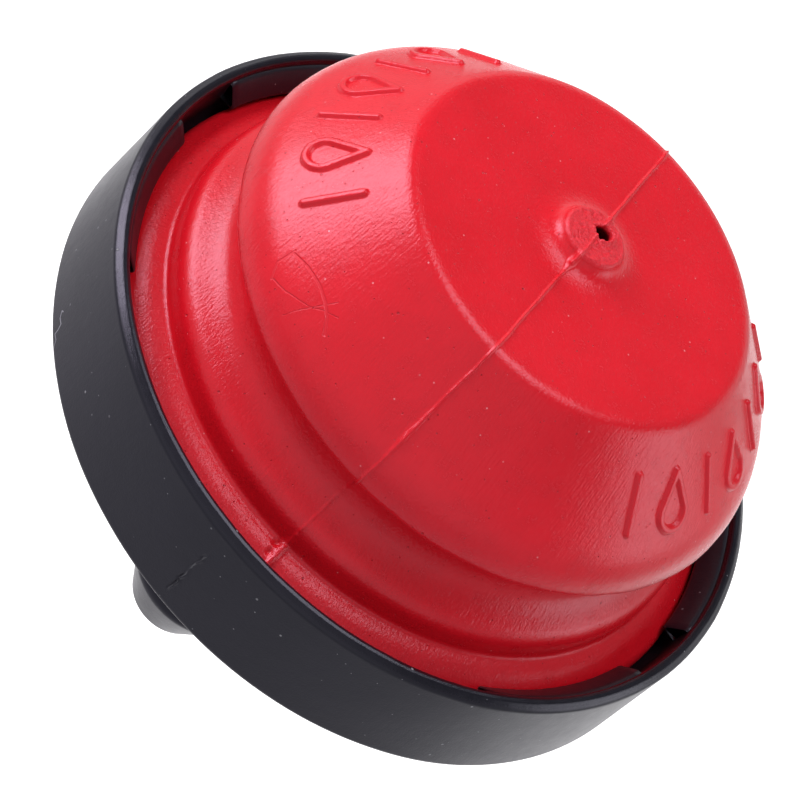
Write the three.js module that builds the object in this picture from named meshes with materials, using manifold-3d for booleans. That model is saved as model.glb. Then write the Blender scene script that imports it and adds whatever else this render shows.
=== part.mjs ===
// Snap-in primer bulb: a hollow moulded rubber bulb whose flange is held inside
// a ring-shaped plastic base. The base seats on a panel with its back face and
// carries a snap boss and a hose nipple behind it.
//
// Millimetres. +Z is the bulb's axis, pointing out of the panel. The origin is
// the centre of the base's back face, the plane that lies on the panel.

import * as THREE from 'three';
import { mergeVertices } from 'three/addons/utils/BufferGeometryUtils.js';
import Module from 'manifold-3d';

const wasm = await Module();
wasm.setup();

// ---------------------------------------------------------------- dimensions

const RING_R = 28.5; // outer radius of the ring at its front rim
const RING_BACK_R = 28.76; // outer radius at the back face, with the draft
const RING_H = 9.8; // back face to rim
const RIM_INNER_R = 27.5; // inner edge of the rim
const FLOOR_T = 2.5; // floor of the base
const LAND_Z = 4.2; // annular land that the flange sits on

const TAB_R = 25.9; // inner edge of the retaining tabs
const TAB_UNDER_Z = 7.35; // underside of the retaining tabs
const TAB_SPAN = 31.5; // degrees covered by one tab
const TAB_CENTRES = [206, 334, 160, 20, 90, 270]; // degrees about +Z

const BOSS_R = 13.6; // neck of the snap boss that passes the panel
const BEAD_R = 14.3; // snap bead behind the panel
const BOSS_DEPTH = 4.8;
const RIB_T = 1.6;

const STEM_R = 4.1; // hose nipple
const BARB_R = 5.96; // back of its long tapered barb
const BARB_TOP_Z = -27.4;
const NIPPLE_END_Z = -32.66;
const BORE_R = 1.4;
const NIPPLE_LEAN = 0.8; // sideways shift of the nipple's end, toward -X

const FACE_Z = 27.25; // flat top face of the bulb's head
const CONE_SUM = 42.0; // radius + height along the head's 45 degree cone
const HEAD_R = 22.8; // widest radius of the head
const WALL = 2.0; // rubber wall
const NUB_Z = 28.5; // top of the small boss round the vent hole
const VENT_R = 0.7;
const VENT_X = 0.15; // the vent hole sits a little off the axis
const VENT_Y = 0.8;
const LIP_H = 0.3; // thin lip round the vent hole

const PARTING = 276.7; // azimuth of the bulb's parting plane, degrees
const MARK_H = 0.3; // height of the raised marks on the head
const MARK_W = 0.55; // width of their strokes

const SEGMENTS = 64;

// ------------------------------------------------------------------- helpers

const rad = (deg) => (deg * Math.PI) / 180;

// Points of a circular arc in the (radius, height) plane, angles in degrees.
function arc(cr, cz, radius, from, to, steps) {
  const out = [];
  for (let i = 0; i <= steps; i++) {
    const a = rad(from + ((to - from) * i) / steps);
    out.push([cr + radius * Math.cos(a), cz + radius * Math.sin(a)]);
  }
  return out;
}

// A body of revolution about +Z from a profile that starts and ends on the
// axis, or closes on itself.
function revolve(profile, segments = SEGMENTS) {
  const points = profile.map(([r, z]) => new THREE.Vector2(r, z));
  const geometry = new THREE.LatheGeometry(points, segments);
  geometry.rotateX(Math.PI / 2);
  return geometry;
}

// A closed solid from rows of points: row i and row i + 1 are joined, every row
// is a closed loop, and the two end rows are capped as polygons.
function loft(rows, capShape) {
  const n = rows[0].length;
  const position = rows.flat().flatMap((p) => [p.x, p.y, p.z]);
  const index = [];
  for (let i = 0; i + 1 < rows.length; i++) {
    for (let j = 0; j < n; j++) {
      const a = i * n + j;
      const b = i * n + ((j + 1) % n);
      index.push(a, b, a + n, b, b + n, a + n);
    }
  }
  const faces = THREE.ShapeUtils.triangulateShape(capShape, []);
  const last = (rows.length - 1) * n;
  for (const [a, b, c] of faces) {
    index.push(a, c, b);
    index.push(last + a, last + b, last + c);
  }
  const geometry = new THREE.BufferGeometry();
  geometry.setAttribute('position', new THREE.Float32BufferAttribute(position, 3));
  geometry.setIndex(index);
  return geometry;
}

// A closed loop of square section along a closed path, for outlines.
function ringLoft(rows) {
  const n = rows[0].length;
  const position = rows.flat().flatMap((p) => [p.x, p.y, p.z]);
  const index = [];
  for (let i = 0; i < rows.length; i++) {
    const next = (i + 1) % rows.length;
    for (let j = 0; j < n; j++) {
      const k = (j + 1) % n;
      index.push(i * n + j, i * n + k, next * n + j);
      index.push(i * n + k, next * n + k, next * n + j);
    }
  }
  const geometry = new THREE.BufferGeometry();
  geometry.setAttribute('position', new THREE.Float32BufferAttribute(position, 3));
  geometry.setIndex(index);
  return geometry;
}

function signedVolume(geometry) {
  const p = geometry.attributes.position.array;
  const idx = geometry.index.array;
  let v = 0;
  for (let i = 0; i < idx.length; i += 3) {
    const a = idx[i] * 3;
    const b = idx[i + 1] * 3;
    const c = idx[i + 2] * 3;
    v +=
      p[a] * (p[b + 1] * p[c + 2] - p[b + 2] * p[c + 1]) +
      p[a + 1] * (p[b + 2] * p[c] - p[b] * p[c + 2]) +
      p[a + 2] * (p[b] * p[c + 1] - p[b + 1] * p[c]);
  }
  return v / 6;
}

// Geometry to manifold solid, with its faces turned outward.
function solid(source) {
  const bare = source.clone();
  bare.deleteAttribute('normal');
  bare.deleteAttribute('uv');
  const geometry = mergeVertices(bare, 1e-5);
  const idx = Array.from(geometry.index.array);
  const kept = [];
  for (let i = 0; i < idx.length; i += 3) {
    const [a, b, c] = [idx[i], idx[i + 1], idx[i + 2]];
    if (a !== b && b !== c && a !== c) kept.push(a, b, c);
  }
  geometry.setIndex(kept);
  if (signedVolume(geometry) < 0) {
    for (let i = 0; i < kept.length; i += 3) [kept[i + 1], kept[i + 2]] = [kept[i + 2], kept[i + 1]];
    geometry.setIndex(kept);
  }
  return new wasm.Manifold(
    new wasm.Mesh({
      numProp: 3,
      vertProperties: new Float32Array(geometry.attributes.position.array),
      triVerts: new Uint32Array(kept),
    }),
  );
}

function toGeometry(manifold) {
  const mesh = manifold.getMesh();
  const geometry = new THREE.BufferGeometry();
  const count = mesh.vertProperties.length / mesh.numProp;
  const position = new Float32Array(count * 3);
  for (let i = 0; i < count; i++) {
    for (let k = 0; k < 3; k++) position[i * 3 + k] = mesh.vertProperties[i * mesh.numProp + k];
  }
  geometry.setAttribute('position', new THREE.BufferAttribute(position, 3));
  geometry.setIndex(new THREE.BufferAttribute(new Uint32Array(mesh.triVerts), 1));
  return geometry;
}

// ---------------------------------------------------------------------- base

// One moulding: ring wall, floor, land, snap boss and nipple in one section,
// as a loop that closes on itself round the bore.
const baseProfile = [
  [BORE_R, FLOOR_T],
  [BORE_R, NIPPLE_END_Z + 0.3],
  [BORE_R + 0.25, NIPPLE_END_Z],
  [3.4, NIPPLE_END_Z],
  [3.64, NIPPLE_END_Z + 0.22],
  [BARB_R, BARB_TOP_Z - 0.2],
  [BARB_R - 0.14, BARB_TOP_Z],
  [STEM_R, BARB_TOP_Z + 0.35],
  [STEM_R, -2.2],
  [STEM_R + 0.35, -1.2],
  [STEM_R + 1.1, -0.6],
  // shallow recess inside the boss
  [11.2, -0.6],
  [11.6, -1.0],
  [11.9, -BOSS_DEPTH + 0.3],
  [12.2, -BOSS_DEPTH],
  [13.1, -BOSS_DEPTH],
  [BEAD_R, -2.7],
  [BEAD_R, -2.25],
  [BOSS_R, -1.9],
  [BOSS_R, 0],
  // back face, outer wall and rim
  [RING_BACK_R - 0.3, 0],
  [RING_BACK_R, 0.3],
  [RING_R, RING_H - 0.6],
  [RING_R - 0.1, RING_H - 0.27],
  [RING_R - 0.29, RING_H - 0.08],
  [RING_R - 0.55, RING_H],
  [RIM_INNER_R + 0.1, RING_H],
  [RIM_INNER_R - 0.1, RING_H - 0.12],
  [RIM_INNER_R - 0.2, RING_H - 0.45],
  [27.0, LAND_Z],
  // land under the flange, then the chamber floor
  [21.2, LAND_Z],
  [20.9, LAND_Z - 0.3],
  [20.9, FLOOR_T + 0.3],
  [20.6, FLOOR_T],
  [BORE_R, FLOOR_T],
];

let base = solid(revolve(baseProfile));

// Retaining tabs: a barb with a ramp on top, sunk into the ring wall.
const tabSection = [
  [TAB_R, TAB_UNDER_Z],
  [27.9, TAB_UNDER_Z - 0.35],
  [27.9, 9.2],
  [27.1, 9.2],
  [TAB_R, TAB_UNDER_Z + 0.35],
];
function tab(centre) {
  const rows = [];
  const steps = 6;
  for (let i = 0; i <= steps; i++) {
    const a = rad(centre - TAB_SPAN / 2 + (TAB_SPAN * i) / steps);
    rows.push(tabSection.map(([r, z]) => new THREE.Vector3(r * Math.cos(a), r * Math.sin(a), z)));
  }
  return loft(rows, tabSection.map(([r, z]) => new THREE.Vector2(r, z)));
}
for (const centre of TAB_CENTRES) base = base.add(solid(tab(centre)));

// Four ribs between the nipple's root and the boss wall.
for (let k = 0; k < 4; k++) {
  const rib = new THREE.BoxGeometry(12.1 - 2.6, RIB_T, 4.2);
  rib.translate((12.1 + 2.6) / 2, 0, -2.1);
  rib.rotateZ(rad(45 + 90 * k));
  base = base.add(solid(rib));
}

// The nipple leans slightly, as the photographed one does.
const baseGeometry = toGeometry(base);
{
  const p = baseGeometry.attributes.position;
  for (let i = 0; i < p.count; i++) {
    const z = p.getZ(i);
    if (z < -BOSS_DEPTH - 0.5) {
      const t = (-BOSS_DEPTH - 0.5 - z) / (-BOSS_DEPTH - 0.5 - NIPPLE_END_Z);
      p.setX(i, p.getX(i) - NIPPLE_LEAN * t);
    }
  }
}

// ---------------------------------------------------------------------- bulb

const bulbProfile = [
  [0, NUB_Z],
  // small boss on the top face
  [2.35, NUB_Z],
  [2.56, NUB_Z - 0.15],
  [2.72, NUB_Z - 0.6],
  [3.15, NUB_Z - 0.96],
  [3.75, NUB_Z - 1.16],
  [4.5, FACE_Z],
  // top face, shoulder and cone
  [14.25, FACE_Z],
  [14.7, FACE_Z - 0.1],
  [15.12, FACE_Z - 0.37],
  [CONE_SUM - 24.0, 24.0],
  [CONE_SUM - 21.3, 21.3],
  [21.55, 20.4],
  [22.15, 19.55],
  [22.6, 18.5],
  [HEAD_R, 17.5],
  [HEAD_R, 16.95],
  [22.62, 16.62],
  // underside of the head and concave neck
  [22.2, 16.5],
  [21.3, 16.3],
  [20.75, 15.8],
  [20.5, 15.1],
  [20.5, 13.9],
  [20.6, 13.2],
  [20.85, 12.5],
  [21.25, 12.0],
  [21.8, 11.52],
  // convex roll, wall and corner above the flange
  ...arc(21.6, 9.4, 1.86, 58, 2, 5),
  [23.46, 8.3],
  [23.7, 8.0],
  // flange, falling to its outer edge
  [24.6, 7.75],
  [25.5, 7.2],
  [26.2, 6.75],
  [26.5, 6.2],
  [26.5, 4.9],
  [26.2, LAND_Z + 0.3],
  [21.2, LAND_Z + 0.3],
  // inside of the hollow
  [21.1, 6.2],
  [21.3, 9.2],
  [20.7, 10.6],
  [19.2, 12.2],
  [18.5, 14.0],
  [18.7, 15.6],
  [20.2, 17.2],
  [20.4, 18.2],
  [CONE_SUM - 2.85 - 20.0, 20.0],
  [CONE_SUM - 2.85 - 24.2, 24.2],
  [13.8, FACE_Z - WALL],
  [0, FACE_Z - WALL],
];

let bulb = solid(revolve(bulbProfile));

// Thin lip round the vent hole, then the hole right through.
const lip = revolve(
  [
    [0, NUB_Z - 0.5],
    [1.25, NUB_Z - 0.5],
    [1.15, NUB_Z],
    [0.95, NUB_Z + LIP_H],
    [0, NUB_Z + LIP_H],
  ],
  24,
);
lip.translate(VENT_X, VENT_Y, 0);
bulb = bulb.add(solid(lip));
const vent = new THREE.CylinderGeometry(VENT_R, VENT_R, 8, 20);
vent.rotateX(Math.PI / 2);
vent.translate(VENT_X, VENT_Y, NUB_Z - 2);
bulb = bulb.subtract(solid(vent));

// Raised generic marks on the head's cone: drop outlines with bars between
// them, in two groups on opposite sides of the parting plane. u is the angle
// in degrees from the group's centre, v the distance down the cone in mm.
const MARK_TOP_R = 17.0; // radius on the cone where v is 0
function onCone(azimuth, v, out) {
  const r = MARK_TOP_R + v * Math.SQRT1_2 + out * Math.SQRT1_2;
  const z = CONE_SUM - MARK_TOP_R - v * Math.SQRT1_2 + out * Math.SQRT1_2;
  return new THREE.Vector3(r * Math.cos(rad(azimuth)), r * Math.sin(rad(azimuth)), z);
}
const SINK = -0.4;
function bar(azimuth) {
  const half = MARK_W / 2;
  const rows = [];
  for (const v of [0.1, 4.9]) {
    const du = ((half / (MARK_TOP_R + v * Math.SQRT1_2)) * 180) / Math.PI;
    rows.push([
      onCone(azimuth - du, v, SINK),
      onCone(azimuth + du, v, SINK),
      onCone(azimuth + du * 0.6, v, MARK_H),
      onCone(azimuth - du * 0.6, v, MARK_H),
    ]);
  }
  const cap = [new THREE.Vector2(0, 0), new THREE.Vector2(1, 0), new THREE.Vector2(0.8, 1), new THREE.Vector2(0.2, 1)];
  return loft(rows, cap);
}
function drop(azimuth) {
  // outline of a drop: a round belly with straight sides to a point
  const outline = [];
  const radius = 1.3;
  const belly = 3.5;
  for (let i = 0; i <= 10; i++) {
    const a = rad(-30 + (240 * i) / 10);
    outline.push([radius * Math.cos(a), belly + radius * Math.sin(a)]);
  }
  outline.push([0, 0.15]);
  const n = outline.length;
  const rows = outline.map(([x, y], i) => {
    const [px, py] = outline[(i + n - 1) % n];
    const [qx, qy] = outline[(i + 1) % n];
    let nx = qy - py;
    let ny = -(qx - px);
    const len = Math.hypot(nx, ny);
    nx /= len;
    ny /= len;
    const at = (offset, out) => {
      const X = x + nx * offset;
      const Y = y + ny * offset;
      const deg = ((X / (MARK_TOP_R + Y * Math.SQRT1_2)) * 180) / Math.PI;
      return onCone(azimuth + deg, Y, out);
    };
    const h = MARK_W / 2;
    return [at(-h, SINK), at(h, SINK), at(h * 0.6, MARK_H), at(-h * 0.6, MARK_H)];
  });
  return ringLoft(rows);
}
const MARK_STEP = 12.4; // degrees between neighbouring marks
for (const centre of [PARTING - 90, PARTING + 90]) {
  for (let k = -3; k <= 3; k++) {
    const azimuth = centre + k * MARK_STEP;
    bulb = bulb.add(solid(k % 2 === 0 ? bar(azimuth) : drop(azimuth)));
  }
}

// -------------------------------------------------------------------- object

const black = new THREE.MeshStandardMaterial({ color: new THREE.Color(0.055, 0.055, 0.065), roughness: 0.55, metalness: 0 });
const red = new THREE.MeshStandardMaterial({ color: new THREE.Color(0.75, 0.02, 0.035), roughness: 0.5, metalness: 0 });

const baseMesh = new THREE.Mesh(baseGeometry, black);
baseMesh.name = 'base';
const bulbMesh = new THREE.Mesh(toGeometry(bulb), red);
bulbMesh.name = 'bulb';

const group = new THREE.Group();
group.add(baseMesh, bulbMesh);

export default group;
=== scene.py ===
"""Primer bulb in its snap-in ring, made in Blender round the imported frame.

Lengths in the tables are millimetres and become metres when a mesh is made.
The bulb's axis is +Z; the ring's back face is z = 0.
"""
import math

import bpy
import numpy as np
from mathutils import Matrix, Vector


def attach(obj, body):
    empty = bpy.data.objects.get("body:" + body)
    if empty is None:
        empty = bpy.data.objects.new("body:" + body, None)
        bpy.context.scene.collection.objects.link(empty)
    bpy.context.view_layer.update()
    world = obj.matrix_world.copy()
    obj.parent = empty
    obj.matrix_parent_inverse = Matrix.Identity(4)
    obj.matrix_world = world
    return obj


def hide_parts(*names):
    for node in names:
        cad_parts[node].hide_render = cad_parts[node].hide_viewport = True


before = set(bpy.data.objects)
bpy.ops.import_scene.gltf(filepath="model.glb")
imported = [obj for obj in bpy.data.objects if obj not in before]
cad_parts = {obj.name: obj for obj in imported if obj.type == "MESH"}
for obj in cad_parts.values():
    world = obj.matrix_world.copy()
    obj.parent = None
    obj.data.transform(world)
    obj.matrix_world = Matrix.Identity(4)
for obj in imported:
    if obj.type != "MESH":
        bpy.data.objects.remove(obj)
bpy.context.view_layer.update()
MM = 0.001
TAU = 2 * math.pi
scene = bpy.context.scene
scene.view_settings.view_transform = "Standard"


# ---------------------------------------------------------------- camera
def cross(a, b):
    return (a[1] * b[2] - a[2] * b[1], a[2] * b[0] - a[0] * b[2], a[0] * b[1] - a[1] * b[0])


def make_camera():
    th, ps = math.radians(46.359), math.radians(-41.134)
    n = (math.sin(th) * math.cos(ps), math.sin(th) * math.sin(ps), -math.cos(th))
    u = (-math.sin(ps), math.cos(ps), 0.0)
    v = cross(n, u)
    c, s = math.cos(math.radians(2)), math.sin(math.radians(2))
    X = [c * u[i] - s * v[i] for i in range(3)]
    Y = [s * u[i] + c * v[i] for i in range(3)]
    Z = list(n)
    f = 2907.6
    O = ((380.262 - 400) / f * 7.952, (424.309 - 400) / f * 7.952, 7.952)
    C = [-0.0285 * sum(O[i] * A[i] for i in range(3)) for A in (X, Y, Z)]
    right, down, fwd = [(X[i], Y[i], Z[i]) for i in range(3)]
    cam = bpy.data.cameras.new("camera")
    cam.sensor_fit, cam.sensor_width, cam.lens = "HORIZONTAL", 36.0, 36.0 * f / 800
    cam.clip_start, cam.clip_end = 0.01, 20
    o = bpy.data.objects.new("camera", cam)
    scene.collection.objects.link(o)
    o.matrix_world = Matrix((
        (right[0], -down[0], -fwd[0], C[0]),
        (right[1], -down[1], -fwd[1], C[1]),
        (right[2], -down[2], -fwd[2], C[2]),
        (0, 0, 0, 1),
    ))
    scene.camera = o


make_camera()


# ---------------------------------------------------------------- numbers
def hash01(ix, iy, iz, seed):
    """A fixed number from 0 to 1 for each whole-number cell."""
    h = (ix.astype(np.int64) * 73856093) ^ (iy.astype(np.int64) * 19349663) ^ (iz.astype(np.int64) * 83492791)
    h = (h ^ (seed * 2654435761)) & 0xFFFFFFFF
    h = ((h ^ (h >> 15)) * 2246822519) & 0xFFFFFFFF
    h = ((h ^ (h >> 13)) * 3266489917) & 0xFFFFFFFF
    h = h ^ (h >> 16)
    return h.astype(np.float64) / 4294967295.0


def noise3(x, y, z, size, seed=1):
    """Smooth noise from -1 to 1 with features about `size` across."""
    x, y, z = (np.asarray(a, float) / size for a in np.broadcast_arrays(x, y, z))
    ix, iy, iz = np.floor(x), np.floor(y), np.floor(z)
    fx, fy, fz = x - ix, y - iy, z - iz
    fx, fy, fz = (t * t * t * (t * (t * 6 - 15) + 10) for t in (fx, fy, fz))
    out = 0
    for dx in (0, 1):
        for dy in (0, 1):
            for dz in (0, 1):
                w = (fx if dx else 1 - fx) * (fy if dy else 1 - fy) * (fz if dz else 1 - fz)
                out = out + w * hash01(ix + dx, iy + dy, iz + dz, seed)
    return out * 2 - 1


def smooth(a, b, x):
    t = np.clip((np.asarray(x, float) - a) / (b - a), 0, 1)
    return t * t * (3 - 2 * t)


def round_corners(points, times=3, keep=0.28, closed=False):
    """Cuts each corner by a share of its shorter side, a few times over."""
    p = [np.array(q, float) for q in points]
    for _ in range(times):
        out = []
        n = len(p)
        for i in range(n):
            if not closed and i in (0, n - 1):
                out.append(p[i])
                continue
            a, b, c = p[i - 1], p[i], p[(i + 1) % n]
            la, lc = np.linalg.norm(b - a), np.linalg.norm(c - b)
            bend = np.dot(b - a, c - b) / max(la * lc, 1e-12)
            if bend > 0.99995:
                out.append(b)
                continue
            d = keep * min(la, lc)
            out += [b + (a - b) / la * d, b + (c - b) / lc * d]
        p = out
    return np.array(p)


def rows_of(points, step, closed=False):
    """Points along a line, no further apart than step(r, z), closer near the ends of each side."""
    p = np.asarray(points, float)
    n = len(p)
    out = []
    for i in range(n if closed else n - 1):
        a, b = p[i], p[(i + 1) % n]
        m = (a + b) / 2
        L = np.linalg.norm(b - a)
        k = max(1, int(math.ceil(L / min(step(*a), step(*m), step(*b)) - 1e-6))) if L < 1 else max(3, int(math.ceil(L / step(*m))) + 1)
        u = np.arange(k) / k
        t = 0.45 * u + 0.55 * (1 - np.cos(math.pi * u)) / 2
        out += [a + (b - a) * q for q in t]
    if not closed:
        out.append(p[-1])
    return np.array(out)


def thin(points, least, closed=False):
    """Drops rows that are nearer than `least` to the one before."""
    out = [points[0]]
    for q in points[1:]:
        if np.linalg.norm(q - out[-1]) >= least:
            out.append(q)
    if not closed:
        out[-1] = points[-1]
    return np.array(out)


def angles(spacing, dense):
    """Azimuths in degrees round the circle, finer in the (centre, half width, step) places."""
    out = []
    a = 0.0
    while a < 360 - 1e-9:
        out.append(a)
        s = spacing
        for c, h, d in dense:
            gap = abs((a - c + 180) % 360 - 180) - h
            if gap <= 0:
                s = min(s, d)
            else:
                s = min(s, d + gap * 0.45)
        a += s
    out = np.array(out)
    return out * (360.0 / (out[-1] + (a - out[-1])))


class Shells:
    """Collects vertices and faces of the shells of one piece."""

    def __init__(self):
        self.v, self.f, self.n = [], [], 0

    def add(self, verts, faces):
        self.v.append(np.asarray(verts, float))
        self.f += [tuple(int(i) + self.n for i in f) for f in faces]
        self.n += len(verts)

    def grid(self, P, close_rows=False, close_cols=True, flip=False):
        """P is rows x columns x 3."""
        R, C = P.shape[:2]
        i = np.arange(R if close_rows else R - 1)[:, None]
        j = np.arange(C if close_cols else C - 1)[None, :]
        i2, j2 = (i + 1) % R, (j + 1) % C
        q = np.stack([i * C + j, i * C + j2, i2 * C + j2, i2 * C + j], -1).reshape(-1, 4)
        if flip:
            q = q[:, ::-1]
        self.add(P.reshape(-1, 3), q.tolist())

    def obj(self, name, material):
        me = bpy.data.meshes.new(name)
        me.from_pydata((np.vstack(self.v) * MM).tolist(), [], self.f)
        me.validate()
        me.polygons.foreach_set("use_smooth", [True] * len(me.polygons))
        me.materials.append(material)
        o = bpy.data.objects.new(name, me)
        scene.collection.objects.link(o)
        return o


# ---------------------------------------------------------------- node helpers
class Nodes:
    def __init__(self, name):
        self.mat = bpy.data.materials.new(name)
        self.mat.use_nodes = True
        self.t = self.mat.node_tree
        self.t.nodes.clear()
        self.out = self.t.nodes.new("ShaderNodeOutputMaterial")
        self.bsdf = self.t.nodes.new("ShaderNodeBsdfPrincipled")
        self.link(self.bsdf.outputs[0], self.out.inputs[0])
        co = self.t.nodes.new("ShaderNodeTexCoord").outputs["Object"]
        self.p = self.vec("MULTIPLY", co, (1000, 1000, 1000))  # millimetres

    def link(self, a, b):
        self.t.links.new(a, b)

    def put(self, sock, value):
        if hasattr(value, "is_output") or hasattr(value, "node"):
            self.link(value, sock)
        else:
            sock.default_value = value

    def vec(self, op, a, b=None, c=None):
        n = self.t.nodes.new("ShaderNodeVectorMath")
        n.operation = op
        self.put(n.inputs[0], a)
        if b is not None:
            self.put(n.inputs[3] if op == "SCALE" else n.inputs[1], b)
        if c is not None:
            self.put(n.inputs[2], c)
        return n.outputs["Value"] if op in ("DOT_PRODUCT", "LENGTH", "DISTANCE") else n.outputs[0]

    def m(self, op, a, b=None, c=None, clamp=False):
        n = self.t.nodes.new("ShaderNodeMath")
        n.operation = op
        n.use_clamp = clamp
        self.put(n.inputs[0], a)
        if b is not None:
            self.put(n.inputs[1], b)
        if c is not None:
            self.put(n.inputs[2], c)
        return n.outputs[0]

    def ramp(self, x, a, b, lo=0.0, hi=1.0):
        n = self.t.nodes.new("ShaderNodeMapRange")
        n.interpolation_type = "SMOOTHSTEP"
        n.clamp = True
        self.put(n.inputs[0], x)
        if a < b:
            vals = (a, b, lo, hi)
        else:
            vals = (b, a, hi, lo)
        for k, q in zip((1, 2, 3, 4), vals):
            self.put(n.inputs[k], q)
        return n.outputs[0]

    def noise(self, size, detail=2.0, rough=0.5, at=None, distort=0.0):
        n = self.t.nodes.new("ShaderNodeTexNoise")
        self.put(n.inputs["Vector"], self.p if at is None else at)
        n.inputs["Scale"].default_value = 1.0 / size
        n.inputs["Detail"].default_value = detail
        n.inputs["Roughness"].default_value = rough
        n.inputs["Distortion"].default_value = distort
        return n.outputs["Fac"]

    def cells(self, size, at=None, feature="F1"):
        n = self.t.nodes.new("ShaderNodeTexVoronoi")
        n.feature = feature
        self.put(n.inputs["Vector"], self.p if at is None else at)
        n.inputs["Scale"].default_value = 1.0 / size
        return n

    def mix(self, f, a, b):
        n = self.t.nodes.new("ShaderNodeMix")
        n.data_type = "RGBA"
        self.put(n.inputs[0], f)
        self.put(n.inputs[6], a)
        self.put(n.inputs[7], b)
        return n.outputs[2]

    def bump(self, height, dist_mm, strength=1.0, normal=None):
        n = self.t.nodes.new("ShaderNodeBump")
        n.inputs["Strength"].default_value = strength
        n.inputs["Distance"].default_value = dist_mm * MM
        self.put(n.inputs["Height"], height)
        if normal is not None:
            self.put(n.inputs["Normal"], normal)
        return n.outputs[0]

    def specks(self, cell, radius, share, at=None):
        """Small round dots, one in a share of the cells."""
        v = self.cells(cell, at)
        dot = self.ramp(v.outputs["Distance"], radius / cell, radius / cell * 0.45)
        sep = self.t.nodes.new("ShaderNodeSeparateColor")
        self.link(v.outputs["Color"], sep.inputs[0])
        pick = self.m("GREATER_THAN", sep.outputs[0], 1 - share)
        return self.m("MULTIPLY", self.m("MULTIPLY", dot, pick), self.m("MULTIPLY_ADD", sep.outputs[1], 0.7, 0.3))

    def stroke(self, points, half, wobble=0.0, wobble_size=1.0):
        """1 along a line of points (mm), falling to 0 at `half` mm from it."""
        at = self.p
        if wobble:
            n = self.t.nodes.new("ShaderNodeTexNoise")
            self.link(self.p, n.inputs["Vector"])
            n.inputs["Scale"].default_value = 1.0 / wobble_size
            n.inputs["Detail"].default_value = 1.0
            off = self.vec("SCALE", self.vec("SUBTRACT", n.outputs["Color"], (0.5, 0.5, 0.5)), wobble * 2)
            at = self.vec("ADD", self.p, off)
        best = None
        for a, b in zip(points[:-1], points[1:]):
            a, b = Vector(a), Vector(b)
            d = b - a
            rel = self.vec("SUBTRACT", at, tuple(a))
            t = self.m("MULTIPLY", self.vec("DOT_PRODUCT", rel, tuple(d)), 1 / d.length_squared, clamp=True)
            on = self.vec("SCALE", tuple(d), t)
            dist = self.vec("DISTANCE", rel, on)
            best = dist if best is None else self.m("MINIMUM", best, dist)
        return self.ramp(best, half, half * 0.3)


def cyl(r, azimuth, z):
    a = math.radians(azimuth)
    return (r * math.cos(a), r * math.sin(a), z)


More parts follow.
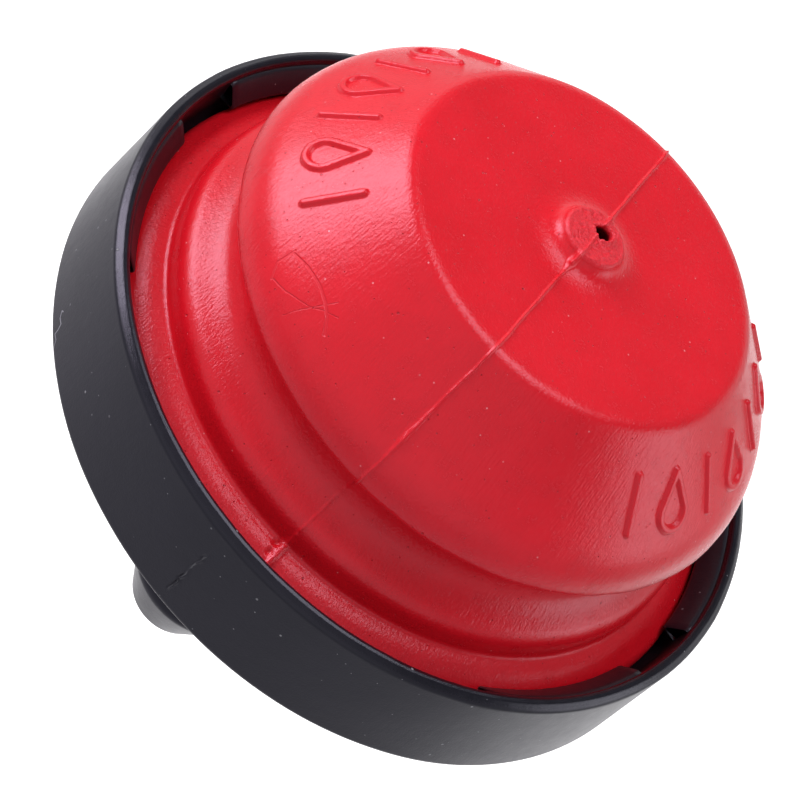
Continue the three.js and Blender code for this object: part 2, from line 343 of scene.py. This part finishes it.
# ---------------------------------------------------------------- materials
def rubber_material():
    k = Nodes("red_rubber")
    xyz = k.t.nodes.new("ShaderNodeSeparateXYZ")
    k.link(k.p, xyz.inputs[0])
    x, y, z = xyz.outputs
    r = k.m("SQRT", k.m("ADD", k.m("MULTIPLY", x, x), k.m("MULTIPLY", y, y)))
    broad = k.noise(9.0, 3.0, 0.55)
    mid = k.noise(1.6, 3.0, 0.6)
    fine = k.noise(0.22, 3.0, 0.6)
    # faint machining lines of the mould, running round the axis
    lathe = k.t.nodes.new("ShaderNodeCombineXYZ")
    k.link(k.m("MULTIPLY", x, 0.25), lathe.inputs[0])
    k.link(k.m("MULTIPLY", y, 0.25), lathe.inputs[1])
    k.link(k.m("MULTIPLY_ADD", r, 6.0, k.m("MULTIPLY", z, 2.0)), lathe.inputs[2])
    turned = k.noise(1.0, 2.0, 0.5, at=lathe.outputs[0])
    # short streaks left by the polishing of the mould
    along = k.vec("DOT_PRODUCT", k.p, tuple(STREAK))
    squeezed = k.vec("SUBTRACT", k.p, k.vec("SCALE", tuple(STREAK), k.m("MULTIPLY", along, 0.86)))
    streaks = k.noise(0.17, 2.0, 0.55, at=squeezed)
    dark_specks = k.specks(1.4, 0.12, 0.25)
    light_specks = k.specks(1.15, 0.09, 0.40, at=k.vec("ADD", k.p, (31.0, 7.0, 3.0)))
    pits = k.specks(0.55, 0.075, 0.36, at=k.vec("ADD", k.p, (5.0, 17.0, 9.0)))
    nub = k.m("MULTIPLY", k.ramp(r, 2.75, 2.35), k.ramp(z, 28.1, 28.3))
    grain = k.noise(0.16, 2.0, 0.6)
    # shallow scuffs on the shoulder of the head
    scuffs = None
    for line, half in SCRATCHES:
        s = k.stroke(line, half, wobble=0.05, wobble_size=0.8)
        scuffs = s if scuffs is None else k.m("MAXIMUM", scuffs, s)
    base = k.mix(k.ramp(broad, 0.3, 0.7), (0.71, 0.0068, 0.0160, 1), (0.78, 0.0088, 0.0205, 1))
    base = k.mix(k.ramp(mid, 0.40, 0.80, 0.0, 0.35), base, (0.59, 0.0055, 0.0135, 1))
    base = k.mix(k.m("MULTIPLY", dark_specks, 0.55), base, (0.16, 0.006, 0.009, 1))
    base = k.mix(k.m("MULTIPLY", light_specks, 0.8), base, (0.90, 0.38, 0.42, 1))
    base = k.mix(k.m("MULTIPLY", pits, 0.5), base, (0.26, 0.004, 0.008, 1))
    base = k.mix(k.m("MULTIPLY", nub, k.ramp(grain, 0.50, 0.70, 0.0, 0.3)), base, (0.50, 0.012, 0.020, 1))
    base = k.mix(k.m("MULTIPLY", nub, k.ramp(grain, 0.56, 0.36, 0.0, 0.35)), base, (0.90, 0.055, 0.08, 1))
    # the vent hole's wall, where the room's light doesn't reach
    aside = k.vec("MULTIPLY", k.vec("SUBTRACT", k.p, (HOLE[0], HOLE[1], 0)), (1, 1, 0))
    deep = k.m("MULTIPLY", k.ramp(k.vec("LENGTH", aside), HOLE_R + 0.15, HOLE_R), k.ramp(z, 28.45, 28.05))
    base = k.mix(k.m("MULTIPLY", deep, 0.93), base, (0.030, 0.001, 0.002, 1))
    k.put(k.bsdf.inputs["Base Color"], base)
    rough = k.m("MULTIPLY_ADD", mid, 0.12, 0.165)
    rough = k.m("ADD", rough, k.m("MULTIPLY", fine, 0.06))
    rough = k.m("ADD", rough, k.m("MULTIPLY", nub, 0.12))
    rough = k.m("ADD", rough, k.m("MULTIPLY", scuffs, 0.15))
    k.put(k.bsdf.inputs["Roughness"], rough)
    k.bsdf.inputs["IOR"].default_value = 1.5
    k.bsdf.inputs["Specular Tint"].default_value = (1.0, 0.80, 0.98, 1)
    n1 = k.bump(mid, 0.05, 0.5)
    n2 = k.bump(k.m("ADD", k.m("MULTIPLY", fine, 0.7), streaks), 0.030, 1.0, n1)
    n3 = k.bump(turned, 0.010, 0.6, n2)
    h = k.m("SUBTRACT", k.m("MULTIPLY", scuffs, -0.6), k.m("ADD", pits, k.m("MULTIPLY", dark_specks, 0.8)))
    n4 = k.bump(h, 0.07, 0.9, n3)
    n5 = k.bump(k.m("MULTIPLY", grain, nub), 0.07, 1.0, n4)
    k.link(n5, k.bsdf.inputs["Normal"])
    return k.mat


def plastic_material():
    k = Nodes("black_plastic")
    xyz = k.t.nodes.new("ShaderNodeSeparateXYZ")
    k.link(k.p, xyz.inputs[0])
    x, y, z = xyz.outputs
    r = k.m("SQRT", k.m("ADD", k.m("MULTIPLY", x, x), k.m("MULTIPLY", y, y)))
    broad = k.noise(7.0, 3.0, 0.55)
    mid = k.noise(1.1, 3.0, 0.6)
    fine = k.noise(0.14, 2.0, 0.6)
    # drawn lines along the moulding direction of the outer wall
    pull = k.noise(1.0, 2.0, 0.6, at=k.vec("MULTIPLY", k.p, (3.2, 3.2, 0.25)))
    dust = k.specks(0.85, 0.075, 0.35)
    dust2 = k.specks(1.5, 0.13, 0.40, at=k.vec("ADD", k.p, (13.0, 2.0, 8.0)))
    dust = k.m("MAXIMUM", dust, dust2)
    hair = k.stroke(HAIR, 0.075)
    scar = k.m("MULTIPLY", k.stroke(SCAR, 0.085, wobble=0.08, wobble_size=0.4), k.ramp(k.noise(0.7, 1.0, 0.5), 0.38, 0.55))
    outer = k.ramp(r, 28.2, 28.45)
    base = k.mix(k.ramp(broad, 0.3, 0.7), (0.0050, 0.0048, 0.0085, 1), (0.0074, 0.0070, 0.0118, 1))
    base = k.mix(k.ramp(mid, 0.4, 0.8, 0.0, 0.5), base, (0.0092, 0.0088, 0.0140, 1))
    base = k.mix(k.m("MULTIPLY", dust, 0.55), base, (0.55, 0.55, 0.60, 1))
    base = k.mix(k.m("MULTIPLY", k.m("MULTIPLY", hair, outer), 0.55), base, (0.55, 0.55, 0.62, 1))
    base = k.mix(k.m("MULTIPLY", scar, 0.22), base, (0.30, 0.31, 0.32, 1))
    k.put(k.bsdf.inputs["Base Color"], base)
    rough = k.m("MULTIPLY_ADD", mid, 0.12, 0.26)
    rough = k.m("ADD", rough, k.m("MULTIPLY", fine, 0.06))
    rough = k.m("ADD", rough, k.m("MULTIPLY", dust, 0.3))
    rough = k.m("SUBTRACT", rough, k.ramp(z, 9.3, 9.65, 0.0, 0.11))
    k.put(k.bsdf.inputs["Roughness"], rough)
    k.bsdf.inputs["IOR"].default_value = 1.5
    k.bsdf.inputs["Specular Tint"].default_value = (0.84, 0.82, 1.0, 1)
    n1 = k.bump(mid, 0.03, 0.5)
    n2 = k.bump(fine, 0.016, 0.6, n1)
    n3 = k.bump(pull, 0.012, 0.5, n2)
    n4 = k.bump(k.m("ADD", dust, k.m("MULTIPLY", hair, outer)), 0.04, 0.7, n3)
    k.link(n4, k.bsdf.inputs["Normal"])
    return k.mat


# wear seen on the ring's wall: a fibre and a scar (azimuth, height)
HAIR = [cyl(28.71, a, h) for a, h in [
    (223.9, 1.95), (223.58, 1.78), (224.47, 1.49), (225.68, 1.63), (226.19, 1.17), (226.35, 0.72),
    (227.51, 0.83), (228.32, 0.48), (228.8, 0.15)]]
SCAR_LINE = [(269.72, 1.6), (269.7, 1.88), (269.66, 2.32), (269.84, 2.62), (269.78, 3.21), (269.71, 4.08), (269.56, 4.58),
             (269.62, 5.09), (269.66, 5.75), (269.80, 6.33), (269.95, 6.92), (270.01, 7.28)]
SCAR = [cyl(28.66, a, h) for a, h in SCAR_LINE]


def skin_line(points):
    return [cyl(r, a, z) for a, r, z in points]


# scratches on the head: (azimuth, radius, height) along each, and its half width
SCRATCHES = [
    (skin_line([(234.45, 21.13, 20.84), (238.27, 20.6, 21.39), (242.91, 20.33, 21.66), (246.37, 20.39, 21.61),
                (249.47, 20.61, 21.38), (252.19, 21.09, 20.88)]), 0.16),
    (skin_line([(238.01, 22.23, 19.37), (241.19, 21.92, 19.86), (245.74, 21.21, 20.76), (248.3, 20.53, 21.46),
                (250.43, 20.13, 21.86)]), 0.085),
    (skin_line([(245.15, 22.28, 19.23), (246.11, 21.24, 20.72), (247.65, 19.83, 22.17)]), 0.06),
    (skin_line([(237.8, 22.28, 19.23), (235.22, 21.88, 19.93), (234.16, 21.02, 20.96)]), 0.12),
]
# the photograph's grain on the head leans this way
STREAK = Vector((-0.178, 0.676, 0.715)).normalized()
# the vent hole in the nub: its centre and radius
HOLE = (0.15, 0.80)
HOLE_R = 0.70

RUBBER = rubber_material()
PLASTIC = plastic_material()

# ---------------------------------------------------------------- bulb
PARTING = 276.7
OUTSIDE = [
    [2.35, 28.5], [2.56, 28.35], [2.74, 27.95], [3.18, 27.57], [3.85, 27.36], [4.7, 27.25], [14.25, 27.25],
    [14.7, 27.15], [15.12, 26.88], [20.7, 21.3], [21.55, 20.4], [22.15, 19.55], [22.6, 18.5], [22.8, 17.5],
    [22.8, 16.95], [22.62, 16.62], [22.2, 16.5], [21.3, 16.3], [20.75, 15.8], [20.5, 15.1], [20.5, 13.9],
    [20.6, 13.2], [20.85, 12.5], [21.25, 12.0], [21.8, 11.52],
]
for a in np.linspace(58, 2, 10):
    OUTSIDE.append([21.6 + 1.86 * math.cos(math.radians(a)), 9.4 + 1.86 * math.sin(math.radians(a))])
OUTSIDE += [[23.46, 8.3], [23.7, 8.0], [24.6, 7.75], [25.5, 7.2], [26.2, 6.75], [26.5, 6.2], [26.5, 4.9],
            [26.2, 4.5], [21.2, 4.5]]
INSIDE = [[21.2, 4.5], [21.1, 6.2], [21.3, 9.2], [20.7, 10.6], [19.2, 12.2], [18.5, 14.0], [18.7, 15.6], [20.2, 17.2],
          [20.4, 18.2], [19.15, 20.0], [14.95, 24.2], [13.8, 25.25], [3.0, 25.25]]


def make_bulb():
    az = angles(2.4, [(PARTING, 1.6, 0.25), (PARTING - 180, 1.2, 0.32)])
    th = np.radians(az)

    def step(r, z):
        if z > 27.27 and r < 5.0:
            return 0.11
        if z > 27.2:
            return 0.5
        if r < 15.3 and z > 26.7:
            return 0.12
        if r + z > 41.9:
            return 0.30
        if z > 17.2:
            return 0.22
        if z > 16.4:
            return 0.09
        if r < 23.3 and z > 8.4:
            return 0.20
        if z > 4.7:
            return 0.16
        return 0.5

    out = thin(rows_of(round_corners(OUTSIDE, 2), step), 0.03)
    inn = thin(rows_of(round_corners(INSIDE, 1), lambda r, z: 1.3), 0.3)
    # nub top: rings that start at the off-centre hole and end at the nub's edge
    t = np.linspace(0, 1, 36)[:-1]
    rad = HOLE_R + (2.35 - HOLE_R) * t
    shift = 1 - t
    top_x = rad[:, None] * np.cos(th) + HOLE[0] * shift[:, None]
    top_y = rad[:, None] * np.sin(th) + HOLE[1] * shift[:, None]
    top_z = np.full_like(top_x, 28.5)
    P = [np.stack([top_x, top_y, top_z], -1)]
    N = [np.tile([0.0, 0.0, 1.0], (*top_x.shape, 1))]
    S = [np.tile(rad[:, None], (1, len(th)))]

    def lathe(rows):
        r, z = rows[:, 0], rows[:, 1]
        g = np.gradient(rows, axis=0)
        g /= np.linalg.norm(g, axis=1)[:, None]
        nr, nz = -g[:, 1], g[:, 0]
        p = np.stack([r[:, None] * np.cos(th), r[:, None] * np.sin(th), np.tile(z[:, None], (1, len(th)))], -1)
        n = np.stack([nr[:, None] * np.cos(th), nr[:, None] * np.sin(th), np.tile(nz[:, None], (1, len(th)))], -1)
        return p, n

    p, n = lathe(out)
    P.append(p)
    N.append(n)
    ds = np.r_[0, np.cumsum(np.linalg.norm(np.diff(out, axis=0), axis=1))]
    S.append(np.tile((2.35 + ds)[:, None], (1, len(th))))
    P, N, S = np.vstack(P), np.vstack(N), np.vstack(S)
    h, side = bulb_relief(P, S, N)
    P = P + N * h[..., None] + side
    # inside skin and the wall of the hole
    pi, _ = lathe(inn)
    wall_z = np.array([25.25, 25.9, 26.6, 27.3, 27.9, 28.3, 28.44])
    wr = HOLE_R + np.array([0.05, -0.03, -0.05, -0.05, -0.05, -0.04, -0.02])
    tear = 1 + 0.10 * noise3(np.cos(th) * 0.65, np.sin(th) * 0.65, wall_z[:, None], 0.4, 7) * np.linspace(0, 1, 7)[:, None]
    W = np.stack([wr[:, None] * tear * np.cos(th) + HOLE[0], wr[:, None] * tear * np.sin(th) + HOLE[1],
                  np.tile(wall_z[:, None], (1, len(th)))], -1)
    s = Shells()
    s.grid(np.vstack([P, pi[1:], W]), close_rows=True, flip=True)
    add_marks(s)
    return s.obj("bulb_skin", RUBBER)


def bulb_relief(P, S, N):
    """Height in mm of everything that stands on or is sunk in the bulb's outer skin."""
    x, y, z = P[..., 0], P[..., 1], P[..., 2]
    r = np.hypot(x, y)
    a = math.radians(PARTING)
    d = -x * math.sin(a) + y * math.cos(a)  # distance across the parting plane
    near = (x * math.cos(a) + y * math.sin(a)) > 0
    s = np.where(near, S, -S)
    # gentle unevenness of a soft moulding
    h = 0.035 * noise3(x, y, z, 7.0, 3) + 0.008 * noise3(x, y, z, 1.4, 4)
    # flash at the parting line: a thin ragged ridge
    wander = 0.05 * noise3(s, 0, 0, 2.2, 11) + 0.03 * noise3(s, 0, 0, 0.5, 12)
    wide = 0.10 + 0.03 * noise3(s, 5, 0, 1.3, 13)
    tall = 0.16 + 0.06 * noise3(s, 9, 0, 0.8, 14) + 0.06 * noise3(s, 9, 0, 0.24, 15)
    # thick at the nub, ragged behind it
    foot = np.exp(-((r - 2.9) / 0.9) ** 2) * (z > 27)
    wide = wide + foot * np.where(near, 0.13, 0.05)
    tall = tall + foot * (0.14 + 0.12 * noise3(s, 7, 0, 0.35, 18))
    # thick again at the brow of the head, with a jog at the lip
    brow = np.exp(-((r - 20.6) / 1.1) ** 2) * (z > 18.5)
    wide = wide + 0.11 * brow
    tall = tall + 0.10 * brow * (0.8 + 0.4 * noise3(s, 4, 0, 0.6, 19))
    lip = np.exp(-((z - 17.0) / 0.9) ** 2) * (r > 22)
    wander = wander + 0.12 * lip
    tall = tall + 0.08 * lip
    neck = (z > 8.5) & (z < 16.2)
    tall = np.where(neck, 0.09 + 0.05 * noise3(s, 6, 0, 0.3, 20), tall)
    flange = smooth(8.9, 8.1, z)
    wide = wide + flange * (0.13 + 0.05 * noise3(s, 2, 0, 0.7, 16))
    tall = tall + flange * (0.08 + 0.06 * noise3(s, 3, 0, 0.45, 17))
    ridge = np.exp(-(np.abs((d - wander) / wide)) ** 2.4)
    h = h + np.maximum(tall, 0.03) * ridge * (z > 4.9)
    # the two mould halves meet with a slight step
    h = h + 0.012 * np.tanh(d / 0.25) * np.exp(-np.abs(d) / 1.5)
    # torn specks beside the flash on the flange
    for q, dd, w, depth in [(23.9, -0.50, 0.22, 0.20), (24.7, -0.48, 0.20, 0.20), (25.3, 0.45, 0.2, 0.10), (22.9, 0.6, 0.2, 0.08)]:
        h = h - depth * np.exp(-((r - q) ** 2 + (d - dd) ** 2) / w ** 2) * near * (z < 9.5)
    # nub: broken-off face with a torn lip round the hole
    rho = np.hypot(x - HOLE[0], y - HOLE[1])
    ang = np.arctan2(y - HOLE[1], x - HOLE[0])
    on = smooth(2.6, 2.25, r) * (z > 28.2)
    g = 0.05 * noise3(x, y, 0, 0.42, 21) + 0.035 * noise3(x, y, 0, 0.2, 22) + 0.02 * noise3(x, y, 0, 0.11, 23)
    pit = np.zeros_like(g)
    rng = np.random.default_rng(5)
    for _ in range(26):
        pa, pr = rng.uniform(0, TAU), 2.15 * math.sqrt(rng.uniform(0.15, 1))
        w, dep = rng.uniform(0.07, 0.16), rng.uniform(0.05, 0.14)
        pit = pit + dep * np.exp(-((x - pr * math.cos(pa)) ** 2 + (y - pr * math.sin(pa)) ** 2) / w ** 2)
    torn = 0.65 + 0.35 * noise3(np.cos(ang), np.sin(ang), 0, 0.35, 24) + 0.15 * noise3(np.cos(ang), np.sin(ang), 0, 0.12, 25)
    torn = torn * (0.85 + 0.45 * np.cos(ang - math.radians(5)))
    lipr = 0.34 * torn * np.exp(-((rho - HOLE_R - 0.15) / 0.16) ** 2)
    for na, w in ((276, 0.22), (186, 0.20)):  # notches in the lip
        off = (np.degrees(ang) - na + 180) % 360 - 180
        lipr = lipr - 0.16 * np.exp(-(np.radians(off) * rho / w) ** 2) * np.exp(-((rho - HOLE_R - 0.1) / 0.25) ** 2)
    h = h + on * (0.8 * g - 0.8 * pit + lipr)
    # worn, slightly uneven lip of the head
    h = h + 0.02 * noise3(x, y, z, 1.1, 31) * np.exp(-((z - 17.0) / 0.8) ** 2) * (r > 22)
    side = np.zeros_like(P)
    return h, side


def add_marks(s):
    """Raised drops and bars on the cone of the head, in two groups."""
    half, tall = 0.275, 0.30

    def stroke_height(dist):
        return tall * (1 - smooth(half - 0.12, half + 0.13, dist)) + 0.012

    def seg(u, v, a, b):
        d = np.array(b) - np.array(a)
        t = np.clip(((u - a[0]) * d[0] + (v - a[1]) * d[1]) / (d @ d), 0, 1)
        return np.hypot(u - a[0] - t * d[0], v - a[1] - t * d[1])

    for g in (PARTING - 90, PARTING + 90):
        for k in range(7):
            mid = g + (k - 3) * 12.4
            if k % 2 == 0:
                lines = [((0, 0.35), (0, 4.65))]
                w = 0.55
            else:
                pts = [(0, 0.3)]
                for q in np.linspace(210, -30, 21):
                    pts.append((1.3 * math.cos(math.radians(q)), 3.5 + 1.3 * math.sin(math.radians(q))))
                pts = [(-p[0], p[1]) for p in pts] + [(0, 0.3)]
                lines = list(zip(pts[:-1], pts[1:]))
                w = 1.85
            du = 0.085
            U = np.arange(-w, w + du, du)
            V = np.arange(-0.1, 5.25, du)
            u, v = np.meshgrid(U, V)
            dist = np.min([seg(u, v, a, b) for a, b in lines], axis=0)
            h = stroke_height(dist) - 0.030
            r = 17.0 + v / math.sqrt(2)
            az = math.radians(mid) + u / r
            r2, z2 = r + h / math.sqrt(2), 25.0 - v / math.sqrt(2) + h / math.sqrt(2)
            P = np.stack([r2 * np.cos(az), r2 * np.sin(az), z2], -1)
            R, C = u.shape
            keep = h > -0.017
            faces = []
            for i in range(R - 1):
                for j in range(C - 1):
                    if keep[i, j] or keep[i + 1, j] or keep[i, j + 1] or keep[i + 1, j + 1]:
                        faces.append((i * C + j, (i + 1) * C + j, (i + 1) * C + j + 1, i * C + j + 1))
            used = sorted({q for f in faces for q in f})
            new = {q: i for i, q in enumerate(used)}
            s.add(P.reshape(-1, 3)[used], [tuple(new[q] for q in f) for f in faces])


# ---------------------------------------------------------------- base
BASE = [
    [1.4, 2.5], [1.4, -32.36], [1.65, -32.66], [3.4, -32.66], [3.64, -32.44], [5.96, -27.6], [5.92, -27.1], [5.68, -26.6], [5.2, -26.3], [4.1, -26.1],
    [4.1, -2.2], [4.45, -1.2], [5.2, -0.6], [11.2, -0.6], [11.6, -1.0], [11.9, -4.5], [12.2, -4.8], [13.1, -4.8], [14.3, -2.7],
    [14.3, -2.25], [13.6, -1.9], [13.6, 0.0], [28.46, 0.0], [28.76, 0.3], [28.5, 9.2], [28.45, 9.36], [28.32, 9.5],
    [28.0, 9.74], [27.9, 9.79], [27.8, 9.8], [27.6, 9.8], [27.4, 9.68], [27.3, 9.35], [27.0, 4.2], [21.2, 4.2], [20.9, 3.9], [20.9, 2.8], [20.6, 2.5],
]
TAB = [[25.9, 7.35], [27.9, 7.0], [27.9, 9.2], [27.1, 9.2], [25.9, 7.7]]


def make_base():
    az = angles(2.0, [(269.8, 0.9, 0.14)])
    th = np.radians(az)

    def step(r, z):
        if r > 28.3 and 1.2 < z < 7.8:
            return 0.14
        if z > 9.78:
            return 0.035
        if z > 9.1:
            return 0.07
        if z < -26.5:
            return 0.3
        if z < -5:
            return 1.2
        if r > 26.9 and z > 0.2:
            return 0.5
        if r < 15 and z < 0.1:
            return 0.35
        return 1.5

    rows = thin(rows_of(round_corners(BASE, 2, closed=True), step, closed=True), 0.035, closed=True)
    r0, z0 = rows[:, 0], rows[:, 1]
    g = np.roll(rows, -1, 0) - np.roll(rows, 1, 0)
    g /= np.linalg.norm(g, axis=1)[:, None]
    nr, nz = -g[:, 1], g[:, 0]
    # outward side of this loop
    ctr = np.array([28.0, 5.0])
    k = np.argmax(r0)
    if nr[k] < 0:
        nr, nz = -nr, -nz
    c, s_ = np.cos(th), np.sin(th)
    P = np.stack([r0[:, None] * c, r0[:, None] * s_, np.tile(z0[:, None], (1, len(th)))], -1)
    N = np.stack([nr[:, None] * c, nr[:, None] * s_, np.tile(nz[:, None], (1, len(th)))], -1)
    h = base_relief(P, r0[:, None] + 0 * P[..., 0], az)
    P = P + N * h[..., None]
    lean = np.clip((-5.3 - P[..., 2]) / 27.36, 0, 1)
    P[..., 0] -= 0.8 * lean
    s = Shells()
    s.grid(P, close_rows=True)
    for centre in (206, 334, 160, 20, 90, 270):
        add_tab(s, centre)
    for centre in (45, 135, 225, 315):
        add_rib(s, centre)
    return s.obj("base_moulding", PLASTIC)


def base_relief(P, R, az):
    x, y, z = P[..., 0], P[..., 1], P[..., 2]
    a = np.tile(az[None, :], (len(P), 1))
    wall = (R > 28.3) & (z > 0.3) & (z < 9.2)
    h = 0.02 * noise3(x, y, z, 6.0, 41) * (R > 20)
    # the rim's edges are not quite true
    rim = smooth(9.0, 9.4, z) * (R > 27.2)
    h = h + rim * (0.020 * noise3(x, y, z, 1.8, 42) + 0.010 * noise3(x, y, z, 0.6, 43))
    # scar on the wall: a burr beside a groove
    line = np.interp(z, [q[1] for q in SCAR_LINE], [q[0] for q in SCAR_LINE])
    line = line + 0.15 * noise3(z, 0, 0, 0.55, 44) + 0.08 * noise3(z, 1, 0, 0.22, 45)
    d = (a - line) * math.radians(1) * 28.6
    along = smooth(1.5, 2.0, z) * smooth(7.4, 6.9, z)
    amp = along * np.clip(0.75 + 0.9 * noise3(z, 3, 0, 0.7, 46), 0.0, 1.4)
    h = h + wall * amp * (0.12 * np.exp(-((d - 0.03) / 0.06) ** 2) - 0.12 * np.exp(-((d + 0.10) / 0.06) ** 2))
    # a sharp edge left along the inner side of the rim
    bead = 27.72 + 0.05 * noise3(x, y, 0, 2.2, 47)
    h = h + 0.035 * np.exp(-((R - bead) / 0.055) ** 2) * (z > 9.6)
    # nicks on the rim
    for na, w, dep in NICKS:
        dd = ((a - na + 180) % 360 - 180) * math.radians(1) * 28.3
        h = h - dep * np.exp(-(dd / w) ** 2) * smooth(9.0, 9.5, z) * (R > 27.8)
    return h


NICKS = [(259.7, 0.22, 0.07), (250.4, 0.16, 0.05), (299.0, 0.18, 0.04)]


def add_tab(s, centre, span=31.5):
    sec = round_corners(TAB, 2, keep=0.22, closed=True)
    n = len(sec)
    mid = sec.mean(0)
    cols = []
    for q, shrink in [(-1.0, 0.80), (-0.996, 0.92), (-0.985, 1.0)] + [(t, 1.0) for t in np.linspace(-0.9, 0.9, 20)] + [(0.985, 1.0), (0.996, 0.92), (1.0, 0.80)]:
        p = mid + (sec - mid) * shrink
        a = math.radians(centre + q * span / 2)
        cols.append(np.stack([p[:, 0] * math.cos(a), p[:, 0] * math.sin(a), p[:, 1]], -1))
    P = np.array(cols)  # stations x section
    base = s.n
    s.grid(P, close_cols=True)
    s.f.append(tuple(base + i for i in range(n)))
    s.f.append(tuple(base + (len(cols) - 1) * n + i for i in reversed(range(n))))


def add_rib(s, centre):
    """A web between the nipple's foot and the boss, with eased edges."""
    prof = []
    for w, z in [(0.8, 0.2), (0.8, -3.9), (0.72, -4.1), (0.55, -4.2), (-0.55, -4.2), (-0.72, -4.1), (-0.8, -3.9), (-0.8, 0.2)]:
        prof.append((w, z))
    a = math.radians(centre)
    P = np.array([[[r * math.cos(a) - w * math.sin(a), r * math.sin(a) + w * math.cos(a), z] for w, z in prof]
                  for r in np.linspace(2.6, 12.1, 12)])
    base = s.n
    s.grid(P, close_cols=True)
    n = len(prof)
    s.f.append(tuple(base + i for i in range(n)))
    s.f.append(tuple(base + 11 * n + i for i in reversed(range(n))))


bulb = make_bulb()
base = make_base()
for o, node, slot in ((bulb, "bulb", "bulb_rubber"), (base, "base", "base_plastic")):
    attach(o, "root")
    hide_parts(node)


# the CAD nodes that the fine meshes stand for carry the same finishes
for node, mat in (("bulb", RUBBER), ("base", PLASTIC)):
    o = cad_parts[node]
    if hasattr(o, "data"):
        o.data.materials.clear()
        o.data.materials.append(mat)


# ---------------------------------------------------------------- floor and light
def make_floor():
    k = Nodes("pale_floor")
    n = k.noise(60.0, 2.0, 0.5)
    # painted light: the floor glows, brightest behind the object where the camera sees it; away from there a painted
    # shade lowers both the glow and the base colour, so the object reflects a darker floor beneath it
    painted_shade_far = k.ramp(k.vec("DISTANCE", k.p, (100.0, 300.0, -160.0)), 262.0, 335.0)
    pale = k.mix(k.ramp(n, 0.3, 0.7), (0.88, 0.88, 0.88, 1), (0.90, 0.90, 0.90, 1))
    k.put(k.bsdf.inputs["Base Color"], k.mix(painted_shade_far, pale, (0.54, 0.54, 0.55, 1)))
    k.bsdf.inputs["Roughness"].default_value = 0.8
    k.bsdf.inputs["Specular IOR Level"].default_value = 0.2
    # painted light: the floor's glow, weaker in the painted shade away from the patch the camera sees
    k.bsdf.inputs["Emission Color"].default_value = (1, 1, 1, 1)
    k.put(k.bsdf.inputs["Emission Strength"], k.m("MULTIPLY_ADD", painted_shade_far, -0.48, 0.60))
    me = bpy.data.meshes.new("floor")
    n = 24
    L = 3.0
    g = np.linspace(-L, L, n + 1)
    X, Y = np.meshgrid(g, g)
    V = np.stack([X, Y, np.full_like(X, -0.16)], -1).reshape(-1, 3)
    F = [(i * (n + 1) + j, i * (n + 1) + j + 1, (i + 1) * (n + 1) + j + 1, (i + 1) * (n + 1) + j) for i in range(n) for j in range(n)]
    me.from_pydata(V.tolist(), [], F)
    me.materials.append(k.mat)
    o = bpy.data.objects.new("floor", me)
    scene.collection.objects.link(o)


def area(name, azimuth, elevation, distance, w, h, radiance, colour=(1, 1, 1), aim=(0, 0, 0.014)):
    """A soft box seen from the object at this azimuth and elevation."""
    l = bpy.data.lights.new(name, "AREA")
    l.shape, l.size, l.size_y = "RECTANGLE", w, h
    l.energy = radiance * math.pi * w * h
    l.color = colour
    o = bpy.data.objects.new(name, l)
    a, e = math.radians(azimuth), math.radians(elevation)
    d = Vector((math.cos(a) * math.cos(e), math.sin(a) * math.cos(e), math.sin(e)))
    o.location = Vector(aim) + d * distance
    o.rotation_mode = "QUATERNION"
    o.rotation_quaternion = d.to_track_quat("Z", "Y")
    scene.collection.objects.link(o)
    return o


def make_world(dark, sweep):
    """A dim room with a pale sweep behind the object, from the floor to a little above the horizon."""
    w = bpy.data.worlds.new("studio")
    scene.world = w
    w.use_nodes = True
    t = w.node_tree
    t.nodes.clear()
    out = t.nodes.new("ShaderNodeOutputWorld")
    bg = t.nodes.new("ShaderNodeBackground")
    t.links.new(bg.outputs[0], out.inputs[0])
    bg.inputs[1].default_value = 1.0
    sep = t.nodes.new("ShaderNodeSeparateXYZ")
    t.links.new(t.nodes.new("ShaderNodeTexCoord").outputs["Generated"], sep.inputs[0])

    def fade(sock, a, b):
        n = t.nodes.new("ShaderNodeMapRange")
        n.interpolation_type = "SMOOTHSTEP"
        t.links.new(sock, n.inputs[0])
        lo, hi, f, g = (a, b, 0.0, 1.0) if a < b else (b, a, 1.0, 0.0)
        for i, q in zip((1, 2, 3, 4), (lo, hi, f, g)):
            n.inputs[i].default_value = q
        return n.outputs[0]

    m = t.nodes.new("ShaderNodeMath")
    m.operation = "MULTIPLY"
    t.links.new(fade(sep.outputs[2], 0.50, 0.12), m.inputs[0])
    t.links.new(fade(sep.outputs[1], -0.45, 0.35), m.inputs[1])
    mix = t.nodes.new("ShaderNodeMix")
    mix.data_type = "RGBA"
    t.links.new(m.outputs[0], mix.inputs[0])
    # a paler wall of the room on the -Y side
    wall = t.nodes.new("ShaderNodeMix")
    wall.data_type = "RGBA"
    t.links.new(fade(sep.outputs[1], 0.0, -0.75), wall.inputs[0])
    wall.inputs[6].default_value = (dark, dark, dark * 1.04, 1)
    wall.inputs[7].default_value = (dark + 0.46, dark + 0.46, dark + 0.46, 1)
    t.links.new(wall.outputs[2], mix.inputs[6])
    mix.inputs[7].default_value = (sweep, sweep, sweep, 1)
    t.links.new(mix.outputs[2], bg.inputs[0])


make_floor()
make_world(0.18, 0.9)
area("key", 180, 26, 0.60, 0.34, 0.34, 7.0, (1.0, 0.93, 1.0))
area("top", 92, 80, 0.80, 0.50, 0.50, 3.6)
area("side", 20, 20, 0.80, 0.40, 0.40, 1.9)
